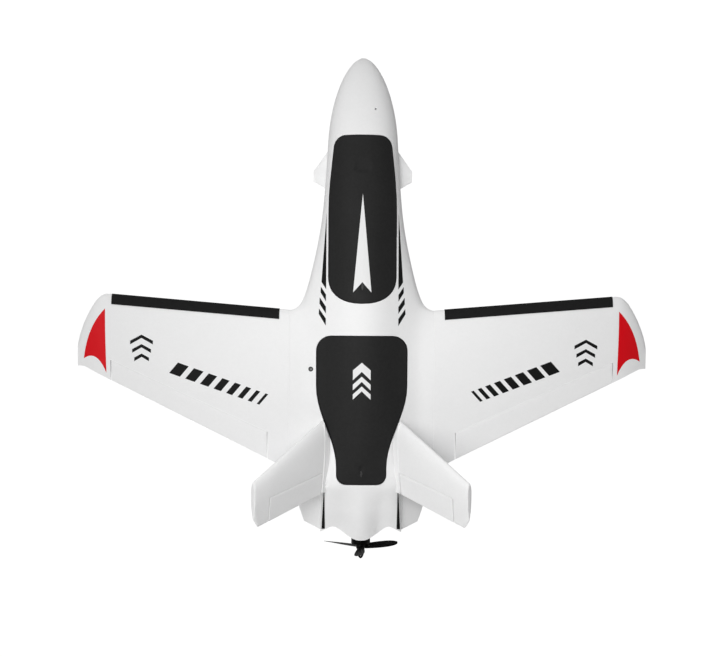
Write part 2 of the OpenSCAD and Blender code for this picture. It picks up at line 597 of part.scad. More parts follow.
module servo_pocket() {
    servo_body(0.25);
    translate([-servo_head - servo_case[0] / 2, servo_case[1] / 2 - shaft_inset, -10])
        cube([servo_case[0] + 0.5, servo_case[1] + 0.5, 20], center = true);
    translate([-servo_head - 5.3, servo_case[1] / 2 - shaft_inset, -10])
        cube([3, 32.7, 20], center = true);
    translate([-0.2, 0, -10.5]) cube([7, 21, 33], center = true);
}
arm_t = 1.6;
link_r = 0.6;
// Output arm with a boss on the shaft and one link hole at the crank length.
module servo_arm(crank) color([0.92, 0.92, 0.90]) difference() {
    union() {
        translate([0.2, 0, 0]) rotate([0, 90, 0]) cylinder(r = 3.4, h = 2.6, center = true);
        translate([0, 0, -crank / 2]) cube([arm_t, 4.4, crank], center = true);
        translate([0, 0, -crank]) rotate([0, 90, 0]) cylinder(r = 2.2, h = arm_t, center = true);
    }
    rotate([0, 90, 0]) cylinder(r = 2.3 + pin_clear, h = 8, center = true);
    translate([0, 0, -crank]) rotate([0, 90, 0]) cylinder(r = link_r + pin_clear, h = 8, center = true);
}
// Steel link with a bent end through the arm's hole at from and through the horn's hole at to, both [y, z].
module pushrod(from, to) {
    side = 1.9;
    color(steel) {
        for (p = [from, to]) translate([-1.3, p[0], p[1]]) rotate([0, 90, 0])
            cylinder(r = link_r, h = side + 1.3, $fn = 24);
        for (p = [from, to]) translate([side, p[0], p[1]]) sphere(r = link_r + 0.06, $fn = 24);
        rod([side, from[0], from[1]], [side, to[0], to[1]], link_r);
    }
}
// Control horn glued under a control surface, in the plane of the servo arm; skin is the surface's depth.
module horn(crank, skin) color(nylon) rotate([90, 0, 90]) {
    difference() {
        linear_extrude(arm_t, center = true) polygon([
            [-17, -skin + 2.2], [-17, -skin - 0.4], [-14, -skin - 1.4], [-2.6, -crank - 1.2],
            [-1, -crank - 2.2], [1.4, -crank - 2.1], [2.6, -crank - 0.4],
            [-3.2, -skin - 1.2], [-4.6, -skin + 2.2]]);
        translate([0, -crank, 0]) cylinder(r = link_r + pin_clear, h = 8, center = true, $fn = 24);
    }
}
module horn_slot(skin) translate([0, -10.25, -skin + 1]) cube([arm_t + 0.2, 13.8, 3.5], center = true);

// ---- drive ----
shaft_z = 5;
mount_y = -270;
module along_shaft(y) translate([0, y, shaft_z]) rotate([90, 0, 0]) children();
mount_screws = [for (i = [0:3]) let (r = i % 2 == 0 ? 8 : 9.5) r * [cos(45 + 90 * i), sin(45 + 90 * i)]];
module motor_mount() color(nylon) along_shaft(mount_y) difference() {
    union() {
        cylinder(r = 15, h = 3);
        translate([0, 0, -14]) cylinder(r = 8.8, h = 14.1);
    }
    translate([0, 0, -20]) cylinder(r = 5, h = 40);
    for (p = mount_screws) translate([p[0], p[1], -20]) cylinder(r = 1.6, h = 30, $fn = 24);
    for (p = mount_screws) translate([p[0], p[1], -20]) cylinder(r = 2.9, h = 19, $fn = 24);
}
module motor_mount_screws() color(steel) along_shaft(mount_y)
    for (p = mount_screws) translate([p[0], p[1], 0]) {
    translate([0, 0, -1.5]) cylinder(r = 1.5, h = 6.1, $fn = 24);
    translate([0, 0, -3]) cylinder(r = 2.7, h = 1.95, $fn = 24);
}
module motor_stator() along_shaft(mount_y - 3.05) {
    color([0.2, 0.2, 0.21]) difference() {
        union() {
            cylinder(r = 13.2, h = 2.6);
            cylinder(r = 4.4, h = 14.4);
            translate([0, 0, 4.2]) cylinder(r = 5.8, h = 7.6);
        }
        translate([0, 0, -1]) cylinder(r = 3, h = 17);
        for (p = mount_screws) translate([p[0], p[1], -1]) cylinder(r = 1.6, h = 5, $fn = 24);
        for (a = [0:90:270]) rotate([0, 0, a]) translate([11.2, 0, -1]) cylinder(r = 1.1, h = 5, $fn = 24);
    }
    color([0.72, 0.40, 0.18]) for (i = [0:8]) rotate([0, 0, 40 * i]) translate([8, 0, 8])
        cube([5.2, 3.2, 7], center = true);
}
module motor_bearings() color(steel) along_shaft(mount_y - 3.05)
    for (z = [0.4, 11.6]) translate([0, 0, z]) difference() {
    cylinder(r = 2.95, h = 2.5);
    translate([0, 0, -1]) cylinder(r = 1.5 + 0.05, h = 5);
}
bell_l = 16.8;
// Rotating bell with its end plate and shaft.
module motor_bell() along_shaft(mount_y - 3.05) {
    color([0.10, 0.10, 0.11]) difference() {
        translate([0, 0, 3.2]) cylinder(r = bell_d / 2, h = bell_l);
        translate([0, 0, 3.1]) cylinder(r = bell_d / 2 - 1.6, h = bell_l - 2);
        for (a = [0:60:300]) rotate([0, 0, a]) translate([8.6, 0, bell_l]) cylinder(r = 2.3, h = 6, $fn = 24);
    }
    color(steel) translate([0, 0, 0.2]) cylinder(r = 1.5, h = bell_l + 1);
    color(steel) translate([0, 0, bell_l + 3.1]) cylinder(r = 6, h = 1);
    color(steel) translate([0, 0, bell_l + 3.2]) cylinder(r = 2.5, h = 16.4);
}
hub_from = 294.1;
hub_len = 6.8;
blade_root = 5.5;
function blade_chord(t) = mix(9.5, 16.5, sin(180 * min(1, t / 0.9) * 0.62)) * sqrt(max(0.03, 1 - pow(t, 9)));
function blade_pitch(t) = mix(35, 15.5, pow(t, 0.75));
// Section of a blade at share t of its length, as [radius, along rotation, along shaft].
function blade_ring(t) = let (
    r = mix(blade_root, prop_d / 2, t), c = blade_chord(t), p = blade_pitch(t), th = mix(1.25, 0.42, t),
    shares = [0:1 / 8:1],
    top = [for (s = shares) [c * (s - 0.38), th * (0.15 + sqrt(s * (1 - s)) * 2 * (1.1 - 0.35 * s))]],
    under = [for (s = shares) [c * (s - 0.38), -th * (0.15 + 0.35 * sqrt(s * (1 - s)))]])
    [for (q = concat(top, reversed(under)))
        [r, q[0] * cos(p) + q[1] * sin(p), q[0] * sin(p) - q[1] * cos(p)]];
module propeller() color([0.05, 0.05, 0.05]) along_shaft(-hub_from) difference() {
    union() {
        cylinder(r = 6.6, h = hub_len);
        for (i = [0:blades - 1]) rotate([0, 0, 90 + 360 * i / blades]) translate([0, 0, hub_len / 2])
            loft([for (t = [0, 0.08, 0.18, 0.3, 0.42, 0.54, 0.66, 0.77, 0.86, 0.93, 0.97, 1]) blade_ring(t)]);
    }
    translate([0, 0, -1]) cylinder(r = 2.55, h = hub_len + 2);
}
nut_r = 4.7;
nut_grip = 6;
// Bullet-nosed nut with a flange and a cross hole for a tightening bar.
module propeller_nut() color(nylon) along_shaft(-hub_from - hub_len - 0.05) difference() {
    rotate_extrude() polygon(concat([[0, 0], [nut_r + 0.9, 0], [nut_r + 0.9, 1.3], [nut_r, 1.3]],
        [for (a = [0:10:90]) [nut_r * cos(a), nut_grip + 9 * sin(a)]]));
    translate([0, 0, -1]) cylinder(r = 2.52, h = 10.5);
    translate([0, 0, nut_grip + 5]) rotate([90, 0, 0]) cylinder(r = 1.1, h = 20, center = true, $fn = 24);
}

// ---- equipment in the bays ----
tray_z = -37;
battery = [34, 105, 34];
battery_y = 172;
battery_back = battery_y - battery[1] / 2;
module equipment_tray() color([0.78, 0.62, 0.42]) difference() {
    translate([0, battery_y - 3, tray_z]) cube([63, 152, 2.5], center = true);
    for (s = [-1, 1]) for (y = [battery_y - 12, battery_y + 12]) translate([s * 23, y, tray_z])
        cube([3, 20, 6], center = true);
    for (y = [112, 226]) translate([0, y, tray_z - 4]) cylinder(r = 11, h = 8);
}
battery_floor = tray_z + 1.25 + 1.3;
module battery_pack() {
    color([0.10, 0.22, 0.45]) translate([0, battery_y, battery_floor + battery[2] / 2])
        cube(battery, center = true);
    color([0.75, 0.10, 0.08]) translate([6, battery_back - 14, battery_floor + 24])
        cube([15, 16, 8], center = true);
    for (s = [-1, 1]) color(s > 0 ? [0.75, 0.1, 0.08] : [0.05, 0.05, 0.05])
        translate([6 + 4 * s, battery_back + 0.5, battery_floor + 24]) rotate([90, 0, 0])
            cylinder(r = 1.9, h = 8);
}
module battery_strap() color([0.07, 0.07, 0.08])
    translate([0, battery_y, battery_floor + battery[2] / 2]) difference() {
    cube([battery[0] + 2.6, 20, battery[2] + 2.5], center = true);
    cube([battery[0] + 0.2, 30, battery[2] + 0.1], center = true);
}
esc_y = -98;
esc_z = -36.5;
module speed_controller() color([0.08, 0.08, 0.09]) translate([0, esc_y, esc_z]) {
    cube([28, 52, 7], center = true);
    for (i = [-3:3]) translate([i * 3.6, 0, 5.5]) cube([1.4, 44, 4.2], center = true);
}
module receiver() {
    color([0.12, 0.12, 0.13]) translate([0, -38, -43.4]) cube([24, 42, 10.6], center = true);
    color([0.80, 0.66, 0.30]) for (i = [-3:3]) translate([i * 2.54, -60.5, -43.4])
        cube([0.7, 4, 6], center = true);
    color([0.85, 0.85, 0.84]) for (s = [-1, 1]) translate([s * 7, -17.2, -43.4]) rotate([-90, 0, 0])
        cylinder(r = 0.8, h = 8);
}
lead_r = 1.5;
// Three phase leads from the speed controller to the motor, passing through the hollow mount.
module motor_leads() color([0.05, 0.05, 0.05]) for (i = [-1:1]) {
    high = shaft_z + (i == 0 ? 2 : -0.6);
    path = [[i * 5.2, esc_y - 26.05, esc_z], [i * 5.2, -136, -33], [i * 4.6, -176, -2],
        [i * 3.15, -240, high], [i * 3.15, mount_y - 2.5, high]];
    loft([for (p = path) [for (a = [0:30:330]) p + lead_r * [cos(a), 0, sin(a)]]]);
}
module rod(a, b, r) {
    v = b - a;
    translate(a) rotate([0, acos(v[2] / norm(v)), atan2(v[1], v[0])]) cylinder(r = r, h = norm(v), $fn = 24);
}

// ---- linkages in place ----
module aileron_servo() on_aileron_hinge() translate(aileron_servo_at) servo();
module rudder_servo() on_rudder_hinge() translate(rudder_servo_at) servo();
module aileron_arm() on_aileron_hinge() translate(aileron_servo_at) servo_arm(aileron_crank);
module rudder_arm() on_rudder_hinge() translate(rudder_servo_at) servo_arm(ruddervator_crank);
module aileron_horn() on_aileron_hinge() translate([aileron_servo_at[0], 0, 0])
    horn(aileron_crank, aileron_depth);
module rudder_horn() on_rudder_hinge() translate([rudder_servo_at[0], 0, 0])
    horn(ruddervator_crank, rudder_depth);
module aileron_brackets() color(nylon) on_aileron_hinge() for (s = aileron_hinge_spots) translate([s, 0, 0])
    hinge_bracket();
module rudder_brackets() color(nylon) on_rudder_hinge() for (s = rudder_hinge_spots) translate([s, 0, 0])
    hinge_bracket();
function crank_end(at, crank) = [at[1], at[2] - crank];
module aileron_linkage() on_aileron_hinge() translate([aileron_servo_at[0], 0, 0])
    pushrod(crank_end(aileron_servo_at, aileron_crank), [0, -aileron_crank]);
module rudder_linkage() on_rudder_hinge() translate([rudder_servo_at[0], 0, 0])
    pushrod(crank_end(rudder_servo_at, ruddervator_crank), [0, -ruddervator_crank]);
module aileron_leaves() color(nylon) on_aileron_hinge() for (s = aileron_hinge_spots) translate([s, 0, 0])
    hinge_leaf();
module rudder_leaves() color(nylon) on_rudder_hinge() for (s = rudder_hinge_spots) translate([s, 0, 0])
    hinge_leaf();
module lifted() translate([0, 0, -skid_face]) children();
module right() lifted() children();
module left() lifted() mirror([1, 0, 0]) children();
module both() {
    right() children();
    left() children();
}

lifted() fuselage_upper_shell();
lifted() fuselage_lower_shell();
right() wing_panel();  // right_wing_panel
left() wing_panel();  // left_wing_panel
right() edge_strip();  // right_edge_strip
left() edge_strip();  // left_edge_strip
right() tail_fin();  // right_tail_fin
left() tail_fin();  // left_tail_fin
right() ventral_fin();  // right_ventral_fin
left() ventral_fin();  // left_ventral_fin
right() canard();  // right_canard
left() canard();  // left_canard
lifted() main_spar_tube();
lifted() rear_spar_tube();
lifted() belly_skid_plate();
lifted() equipment_tray();
lifted() battery_pack();
lifted() battery_strap();
lifted() speed_controller();
lifted() receiver();
lifted() motor_leads();
lifted() antenna_grommet();
lifted() motor_mount();
lifted() motor_mount_screws();
lifted() motor_stator();
lifted() motor_bearings();
lifted() seat_magnets();  // hatch_seat_magnets
right() aileron_servo();  // right_aileron_servo
left() aileron_servo();  // left_aileron_servo
right() rudder_servo();  // right_ruddervator_servo
left() rudder_servo();  // left_ruddervator_servo
both() aileron_brackets();  // aileron_hinge_brackets
both() rudder_brackets();  // ruddervator_hinge_brackets
right() aileron();  // right_aileron
right() aileron_leaves();  // right_aileron_hinge_leaves
right() aileron_horn();  // right_aileron_horn
left() aileron();  // left_aileron
left() aileron_leaves();  // left_aileron_hinge_leaves
left() aileron_horn();  // left_aileron_horn
right() ruddervator();  // right_ruddervator
right() rudder_leaves();  // right_ruddervator_hinge_leaves
right() rudder_horn();  // right_ruddervator_horn
left() ruddervator();  // left_ruddervator
left() rudder_leaves();  // left_ruddervator_hinge_leaves
left() rudder_horn();  // left_ruddervator_horn
right() aileron_arm();  // right_aileron_servo_arm
left() aileron_arm();  // left_aileron_servo_arm
right() rudder_arm();  // right_ruddervator_servo_arm
left() rudder_arm();  // left_ruddervator_servo_arm
right() aileron_linkage();  // right_aileron_pushrod
left() aileron_linkage();  // left_aileron_pushrod
right() rudder_linkage();  // right_ruddervator_pushrod
left() rudder_linkage();  // left_ruddervator_pushrod
lifted() motor_bell();
lifted() propeller();
lifted() propeller_nut();
lifted() front_hatch();
lifted() front_hatch_magnets();
lifted() rear_hatch();
lifted() rear_hatch_magnets();
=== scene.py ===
import json
import math

import bmesh
import bpy
import numpy as np
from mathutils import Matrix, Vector
from mathutils.bvhtree import BVHTree
from mathutils.geometry import delaunay_2d_cdt

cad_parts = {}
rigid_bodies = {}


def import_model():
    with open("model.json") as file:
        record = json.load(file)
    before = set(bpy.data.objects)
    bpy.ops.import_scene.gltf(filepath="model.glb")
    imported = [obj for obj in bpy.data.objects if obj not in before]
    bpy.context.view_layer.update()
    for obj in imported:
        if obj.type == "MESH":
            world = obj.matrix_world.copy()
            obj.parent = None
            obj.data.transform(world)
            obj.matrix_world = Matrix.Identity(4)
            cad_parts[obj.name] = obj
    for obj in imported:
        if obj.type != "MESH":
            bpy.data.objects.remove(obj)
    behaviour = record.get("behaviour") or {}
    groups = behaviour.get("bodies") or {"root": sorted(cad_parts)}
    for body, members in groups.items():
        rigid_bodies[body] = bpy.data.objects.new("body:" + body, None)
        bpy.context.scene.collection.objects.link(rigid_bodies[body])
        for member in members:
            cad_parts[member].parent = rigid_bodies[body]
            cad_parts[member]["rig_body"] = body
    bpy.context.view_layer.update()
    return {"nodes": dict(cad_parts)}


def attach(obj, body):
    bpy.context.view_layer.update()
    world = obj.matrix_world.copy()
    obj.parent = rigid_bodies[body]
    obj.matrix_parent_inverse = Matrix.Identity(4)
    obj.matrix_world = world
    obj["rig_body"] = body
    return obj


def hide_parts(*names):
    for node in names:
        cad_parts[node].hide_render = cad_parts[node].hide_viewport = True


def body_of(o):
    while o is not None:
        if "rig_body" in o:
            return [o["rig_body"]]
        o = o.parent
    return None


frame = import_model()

MM = 0.001
scene = bpy.context.scene
SIDES = (("right", 1), ("left", -1))


# ---------------------------------------------------------------- mesh helpers
def link(obj):
    scene.collection.objects.link(obj)
    return obj


def arrays(mesh):
    """Vertex positions and triangles of a mesh, as numpy arrays."""
    co = np.empty(len(mesh.vertices) * 3)
    mesh.vertices.foreach_get("co", co)
    mesh.calc_loop_triangles()
    tri = np.empty(len(mesh.loop_triangles) * 3, np.int32)
    mesh.loop_triangles.foreach_get("vertices", tri)
    return co.reshape(-1, 3), tri.reshape(-1, 3)


def new_mesh(name, co, faces, smooth=True):
    mesh = bpy.data.meshes.new(name)
    mesh.from_pydata([tuple(p) for p in co], [], [tuple(f) for f in faces])
    mesh.validate()
    mesh.update()
    mesh.polygons.foreach_set("use_smooth", [smooth] * len(mesh.polygons))
    return mesh


def welded(node):
    """A copy of a CAD node's mesh with its doubled corner points joined."""
    mesh = frame["nodes"][node].data.copy()
    bm = bmesh.new()
    bm.from_mesh(mesh)
    bmesh.ops.remove_doubles(bm, verts=bm.verts, dist=0.002 * MM)
    bmesh.ops.triangulate(bm, faces=bm.faces)
    bm.to_mesh(mesh)
    bm.free()
    return mesh


def refined(mesh, longest):
    """Splits edges until none is longer than the given length."""
    bm = bmesh.new()
    bm.from_mesh(mesh)
    for _ in range(9):
        long_edges = [e for e in bm.edges if e.calc_length() > longest]
        if not long_edges:
            break
        bmesh.ops.subdivide_edges(bm, edges=long_edges, cuts=1)
        bmesh.ops.triangulate(bm, faces=[f for f in bm.faces if len(f.verts) > 3])
    bm.to_mesh(mesh)
    bm.free()
    return mesh


def voxelled(mesh, size):
    """The same solid with an even skin of small faces and slightly rounded edges."""
    obj = link(bpy.data.objects.new("voxel_work", mesh))
    modifier = obj.modifiers.new("remesh", "REMESH")
    modifier.mode = "VOXEL"
    modifier.voxel_size = size
    graph = bpy.context.evaluated_depsgraph_get()
    result = bpy.data.meshes.new_from_object(obj.evaluated_get(graph))
    bpy.data.objects.remove(obj)
    return result


def gather(index, values, count):
    """Sum of the rows of values that share an index."""
    return np.stack([np.bincount(index, values[:, k], count) for k in range(3)], 1)


def unit_rows(v):
    return v / np.maximum(np.linalg.norm(v, axis=1, keepdims=True), 1e-15)


def soften(co, tri, rounds, crease, settle=12):
    """Turns flat facets into a smooth surface. Face normals are averaged wherever the surface bends by less
    than the crease angle in degrees, and the points then move to suit the averaged normals."""
    corners = co[tri]
    cross = np.cross(corners[:, 1] - corners[:, 0], corners[:, 2] - corners[:, 0])
    area = np.linalg.norm(cross, axis=1, keepdims=True)
    normal = unit_rows(cross)
    edges = np.concatenate([tri[:, [0, 1]], tri[:, [1, 2]], tri[:, [2, 0]]])
    edges = np.sort(edges, axis=1).astype(np.int64)
    owner = np.tile(np.arange(len(tri)), 3)
    key = edges[:, 0] * (len(co) + 1) + edges[:, 1]
    order = np.argsort(key, kind="stable")
    same = key[order][1:] == key[order][:-1]
    a, b = owner[order][:-1][same], owner[order][1:][same]
    gentle = (normal[a] * normal[b]).sum(1) > math.cos(math.radians(crease))
    a, b = a[gentle], b[gentle]
    both, other = np.concatenate([a, b]), np.concatenate([b, a])
    for _ in range(rounds):
        weighted = normal * area
        normal = unit_rows(weighted + gather(both, weighted[other], len(tri)))
    share = np.maximum(np.bincount(tri.ravel(), minlength=len(co)), 1)[:, None]
    for _ in range(settle):
        corners = co[tri]
        gap = ((corners.mean(1)[:, None, :] - corners) * normal[:, None, :]).sum(2)
        push = (gap[:, :, None] * normal[:, None, :]).reshape(-1, 3)
        co = co + gather(tri.ravel(), push, len(co)) / share
    return co


def relax(co, tri):
    """Rounds everything off a little by moving each point halfway to its neighbours' mean."""
    i = tri[:, [0, 1, 2, 1, 2, 0]].ravel()
    j = tri[:, [1, 2, 0, 0, 1, 2]].ravel()
    count = np.maximum(np.bincount(i, minlength=len(co)), 1)[:, None]
    return co + 0.5 * (gather(i, co[j], len(co)) / count - co)


def sharp_by_angle(mesh, degrees):
    mesh.polygons.foreach_set("use_smooth", [True] * len(mesh.polygons))
    mesh.set_sharp_from_angle(angle=math.radians(degrees))


foam_pieces = {}


def foam(node, material, voxel=None, edge=None, rounds=30, crease=42):
    """A finely meshed foam piece that stands for a CAD node."""
    mesh = welded(node)
    shape = arrays(mesh)[0]
    if voxel:
        mesh = voxelled(mesh, voxel * MM * (1))
    else:
        mesh = refined(mesh, edge * MM * (1))
    co, tri = arrays(mesh)
    co = soften(co, tri, rounds, crease)
    if voxel:
        co = relax(co, tri)
    co = np.clip(co, shape.min(0), shape.max(0))
    result = new_mesh(node + "_foam", co, tri)
    sharp_by_angle(result, 50)
    obj = link(bpy.data.objects.new(node + "_foam", result))
    result.materials.append(material)
    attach(obj, body_of(frame["nodes"][node])[0])
    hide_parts(node)
    foam_pieces[node] = obj
    return obj


# ---------------------------------------------------------------- materials
class Graph:
    """A procedural material, built node by node in the object's own coordinates."""

    def __init__(self, name, roughness=0.5, specular=0.4, metallic=0.0):
        self.material = bpy.data.materials.new(name)
        self.material.use_nodes = True
        self.tree = self.material.node_tree
        self.skin = self.tree.nodes["Principled BSDF"]
        self.skin.inputs["Roughness"].default_value = roughness
        self.skin.inputs["Specular IOR Level"].default_value = specular
        self.skin.inputs["Metallic"].default_value = metallic
        self.place = self.node("ShaderNodeTexCoord").outputs["Object"]

    def node(self, kind, inputs=None, **settings):
        made = self.tree.nodes.new(kind)
        for name, value in settings.items():
            setattr(made, name, value)
        for name, value in (inputs or {}).items():
            self.feed(made.inputs[name], value)
        return made

    def feed(self, socket, value):
        if isinstance(value, bpy.types.NodeSocket):
            self.tree.links.new(value, socket)
        else:
            socket.default_value = value

    def scaled(self, factors):
        return self.node("ShaderNodeMapping", {"Vector": self.place, "Scale": factors}).outputs[0]

    def noise(self, scale, detail=2.0, where=None, rough=0.5):
        inputs = {"Vector": where or self.place, "Scale": scale, "Detail": detail, "Roughness": rough}
        made = self.node("ShaderNodeTexNoise", inputs)
        return made.outputs["Fac"]

    def cells(self, scale, feature="F1", output="Distance", where=None):
        inputs = {"Vector": where or self.place, "Scale": scale}
        made = self.node("ShaderNodeTexVoronoi", inputs, feature=feature)
        return made.outputs[output]

    def math(self, operation, a, b=0.0):
        return self.node("ShaderNodeMath", {0: a, 1: b}, operation=operation).outputs[0]

    def span(self, value, low, high, to_low=0.0, to_high=1.0):
        made = self.node("ShaderNodeMapRange", {"Value": value, "From Min": low, "From Max": high,
                                                "To Min": to_low, "To Max": to_high})
        return made.outputs["Result"]

    def mix(self, factor, a, b):
        made = self.node("ShaderNodeMix", data_type="RGBA")
        self.feed(made.inputs["Factor"], factor)
        self.feed(made.inputs[6], a)
        self.feed(made.inputs[7], b)
        return made.outputs[2]

    def axis(self, index):
        return self.node("ShaderNodeSeparateXYZ", {0: self.place}).outputs[index]

    def bump(self, height, distance, strength=1.0, normal=None):
        made = self.node("ShaderNodeBump", {"Height": height, "Distance": distance, "Strength": strength})
        if normal is not None:
            self.feed(made.inputs["Normal"], normal)
        return made.outputs["Normal"]

    def finish(self, colour=None, roughness=None, normal=None, **more):
        for name, value in (("Base Color", colour), ("Roughness", roughness), ("Normal", normal)):
            if value is not None:
                self.feed(self.skin.inputs[name], value)
        for name, value in more.items():
            self.feed(self.skin.inputs[name.replace("_", " ")], value)
        return self.material


def grey(v, alpha=1.0):
    return (v, v, v, alpha)


def painted_highlight_mask(g, radius):
    """1 along the creases and rims of a piece, 0 on its open faces."""
    rounded = g.node("ShaderNodeBevel", {"Radius": radius * MM}, samples=4).outputs[0]
    plain = g.node("ShaderNodeNewGeometry").outputs["Normal"]
    agree = g.node("ShaderNodeVectorMath", {0: rounded, 1: plain}, operation="DOT_PRODUCT").outputs["Value"]
    return g.span(agree, 0.985, 0.90)


def bead_foam(name, light, dark, roughness, specular, depth, rim_highlight=None):
    """Moulded expanded foam: beads a few millimetres across with fine grooves and pinholes between them.
    Creases and rims are lightened towards the rim colour: a painted highlight where the rounded edges catch the
    light."""
    g = Graph(name, roughness, specular)
    wobble = g.node("ShaderNodeTexNoise", {"Vector": g.place, "Scale": 160.0}).outputs["Color"]
    bent = g.node("ShaderNodeVectorMath", {0: g.place, 1: (0, 0, 0)}, operation="ADD")
    shift = g.node("ShaderNodeVectorMath", {0: wobble, 1: (0.0016, 0.0016, 0.0016)}, operation="MULTIPLY")
    g.feed(bent.inputs[1], shift.outputs[0])
    where = bent.outputs[0]
    groove = g.span(g.cells(330.0, "DISTANCE_TO_EDGE", "Distance", where), 0.0, 0.09)
    bead = g.node("ShaderNodeSeparateColor", {0: g.cells(330.0, "F1", "Color", where)}).outputs[0]
    cloud = g.noise(38.0, 3.0)
    tone = g.math("ADD", g.math("MULTIPLY", bead, 0.35), g.math("MULTIPLY", cloud, 0.65))
    pits = g.span(g.cells(900.0), 0.05, 0.22)
    height = g.math("ADD", g.math("MULTIPLY", groove, 0.7), g.math("MULTIPLY", pits, 0.3))
    height = g.math("ADD", height, g.math("MULTIPLY", bead, 0.25))
    colour = g.mix(tone, dark, light)
    # Painted highlight: creases and rims are mixed towards the paler rim colour.
    if rim_highlight:
        colour = g.mix(painted_highlight_mask(g, 0.9), colour, rim_highlight)
    return g.finish(colour, g.span(cloud, 0.3, 0.7, roughness - 0.06, roughness + 0.06),
                    g.bump(height, depth * MM, 0.6))


def vinyl(name, colour, roughness=0.42, specular=0.12):
    """Self-adhesive film: very slight unevenness and scuffs."""
    g = Graph(name, roughness, specular)
    scuff = g.noise(260.0, 5.0, g.scaled((1.0, 0.25, 1.0)))
    worn = [c * 0.85 + 0.004 for c in colour[:3]] + [1]
    shade = g.mix(g.span(scuff, 0.35, 0.75, 0.0, 0.10), colour, worn)
    return g.finish(shade, g.span(scuff, 0.3, 0.7, roughness - 0.07, roughness + 0.09),
                    g.bump(g.noise(900.0, 3.0), 0.02 * MM, 0.4))


def moulded(name, colour, roughness=0.45, specular=0.4, grain=1400.0, depth=0.02):
    """Injection-moulded plastic with a fine spark-eroded grain."""
    g = Graph(name, roughness, specular)
    pattern = g.noise(grain, 4.0)
    darker = [c * 0.8 for c in colour[:3]] + [1]
    tint = g.mix(g.span(g.noise(60.0, 2.0), 0.3, 0.7, 0.0, 0.25), colour, darker)
    return g.finish(tint, g.span(pattern, 0.3, 0.7, roughness - 0.08, roughness + 0.08),
                    g.bump(pattern, depth * MM, 0.6))


def metal(name, colour, roughness, stretch=(1.0, 12.0, 1.0), scale=500.0, depth=0.006):
    """Turned or drawn metal with fine lines across the given stretch."""
    g = Graph(name, roughness, 0.5, 1.0)
    lines = g.noise(scale, 4.0, g.scaled(stretch))
    return g.finish(g.mix(lines, [c * 0.82 for c in colour[:3]] + [1], colour),
                    g.span(lines, 0.3, 0.7, roughness - 0.1, roughness + 0.1),
                    g.bump(lines, depth * MM, 0.5))


def carbon_tube(name):
    """Twill-woven carbon under clear resin."""
    g = Graph(name, 0.3, 0.5)
    stripe = g.math("FRACT", g.math("MULTIPLY", g.math("ADD", g.axis(0), g.axis(2)), 480.0))
    other = g.math("FRACT", g.math("MULTIPLY", g.math("SUBTRACT", g.axis(0), g.axis(2)), 480.0))
    tow = g.math("GREATER_THAN", g.math("ADD", stripe, other), 1.0)
    return g.finish(g.mix(tow, grey(0.012), grey(0.05)), g.span(tow, 0, 1, 0.24, 0.42),
                    g.bump(stripe, 0.04 * MM, 0.5))


def plywood_sheet(name):
    g = Graph(name, 0.62, 0.25)
    grain = g.noise(60.0, 6.0, g.scaled((9.0, 1.0, 3.0)), 0.65)
    ply = g.math("FRACT", g.math("MULTIPLY", g.axis(2), 1 / (0.84 * MM)))
    tone = g.mix(g.span(grain, 0.35, 0.7), (0.52, 0.35, 0.19, 1), (0.70, 0.52, 0.32, 1))
    return g.finish(g.mix(g.span(ply, 0.45, 0.55, 0.0, 0.18), tone, (0.30, 0.19, 0.10, 1)), None,
                    g.bump(grain, 0.12 * MM, 0.5))


def strap_weave(name, colour):
    g = Graph(name, 0.8, 0.15)
    weft_turn, warp_turn = 2 * math.pi / (1.1 * MM), 2 * math.pi / (0.9 * MM)
    across = g.math("SINE", g.math("MULTIPLY", g.axis(1), weft_turn))
    along = g.math("SINE", g.math("MULTIPLY", g.math("ADD", g.axis(0), g.axis(2)), warp_turn))
    weave = g.math("MULTIPLY", across, along)
    return g.finish(g.mix(g.span(weave, -1, 1), [c * 0.5 for c in colour[:3]] + [1], colour), None,
                    g.bump(weave, 0.15 * MM, 0.8))


def split_by_colour(name, low, high, axis, at, roughness=0.35):
    """One plastic whose colour changes along an axis, for a part with two coloured ends."""
    g = Graph(name, roughness, 0.4)
    side = g.math("GREATER_THAN", g.axis(axis), at)
    film = g.noise(240.0, 4.0)
    return g.finish(g.mix(side, low, high), g.span(film, 0.3, 0.7, roughness - 0.08, roughness + 0.1),
                    g.bump(film, 0.08 * MM, 0.5))


# White foam: the last grey(1.0) is a painted highlight along its creases and rims.
white_foam = bead_foam("white_foam", grey(0.90), grey(0.865), 0.62, 0.25, 0.05, grey(1.0))
black_foam = bead_foam("black_foam", grey(0.020), grey(0.014), 0.62, 0.14, 0.05)
black_eva = bead_foam("black_eva", grey(0.012), grey(0.007), 0.70, 0.12, 0.03)
red_vinyl = vinyl("red_vinyl", (0.70, 0.004, 0.010, 1))
black_vinyl = vinyl("black_vinyl", grey(0.008), 0.45, 0.1)
white_vinyl = vinyl("white_vinyl", grey(0.82))
nylon_black = moulded("black_nylon", grey(0.018))
nylon_white = moulded("white_nylon", (0.78, 0.78, 0.74, 1), 0.4)
carbon = carbon_tube("carbon")
plywood = plywood_sheet("plywood")
battery_wrap = split_by_colour("battery_wrap", (0.55, 0.02, 0.02, 1), (0.012, 0.06, 0.22, 1), 1, 0.1194)
webbing = strap_weave("strap_webbing", grey(0.02))
silicone = moulded("silicone_wire", grey(0.012), 0.55, 0.3, 700.0)
steel = metal("steel", (0.60, 0.61, 0.63, 1), 0.28)
copper = metal("stator_copper", (0.72, 0.30, 0.12, 1), 0.35)
servo_blue = moulded("servo_case", (0.015, 0.035, 0.16, 1), 0.32)
motor_black = metal("motor_black", grey(0.012), 0.38)
prop_black = moulded("propeller_black", grey(0.003), 0.42, 0.12, 300.0, 0.01)

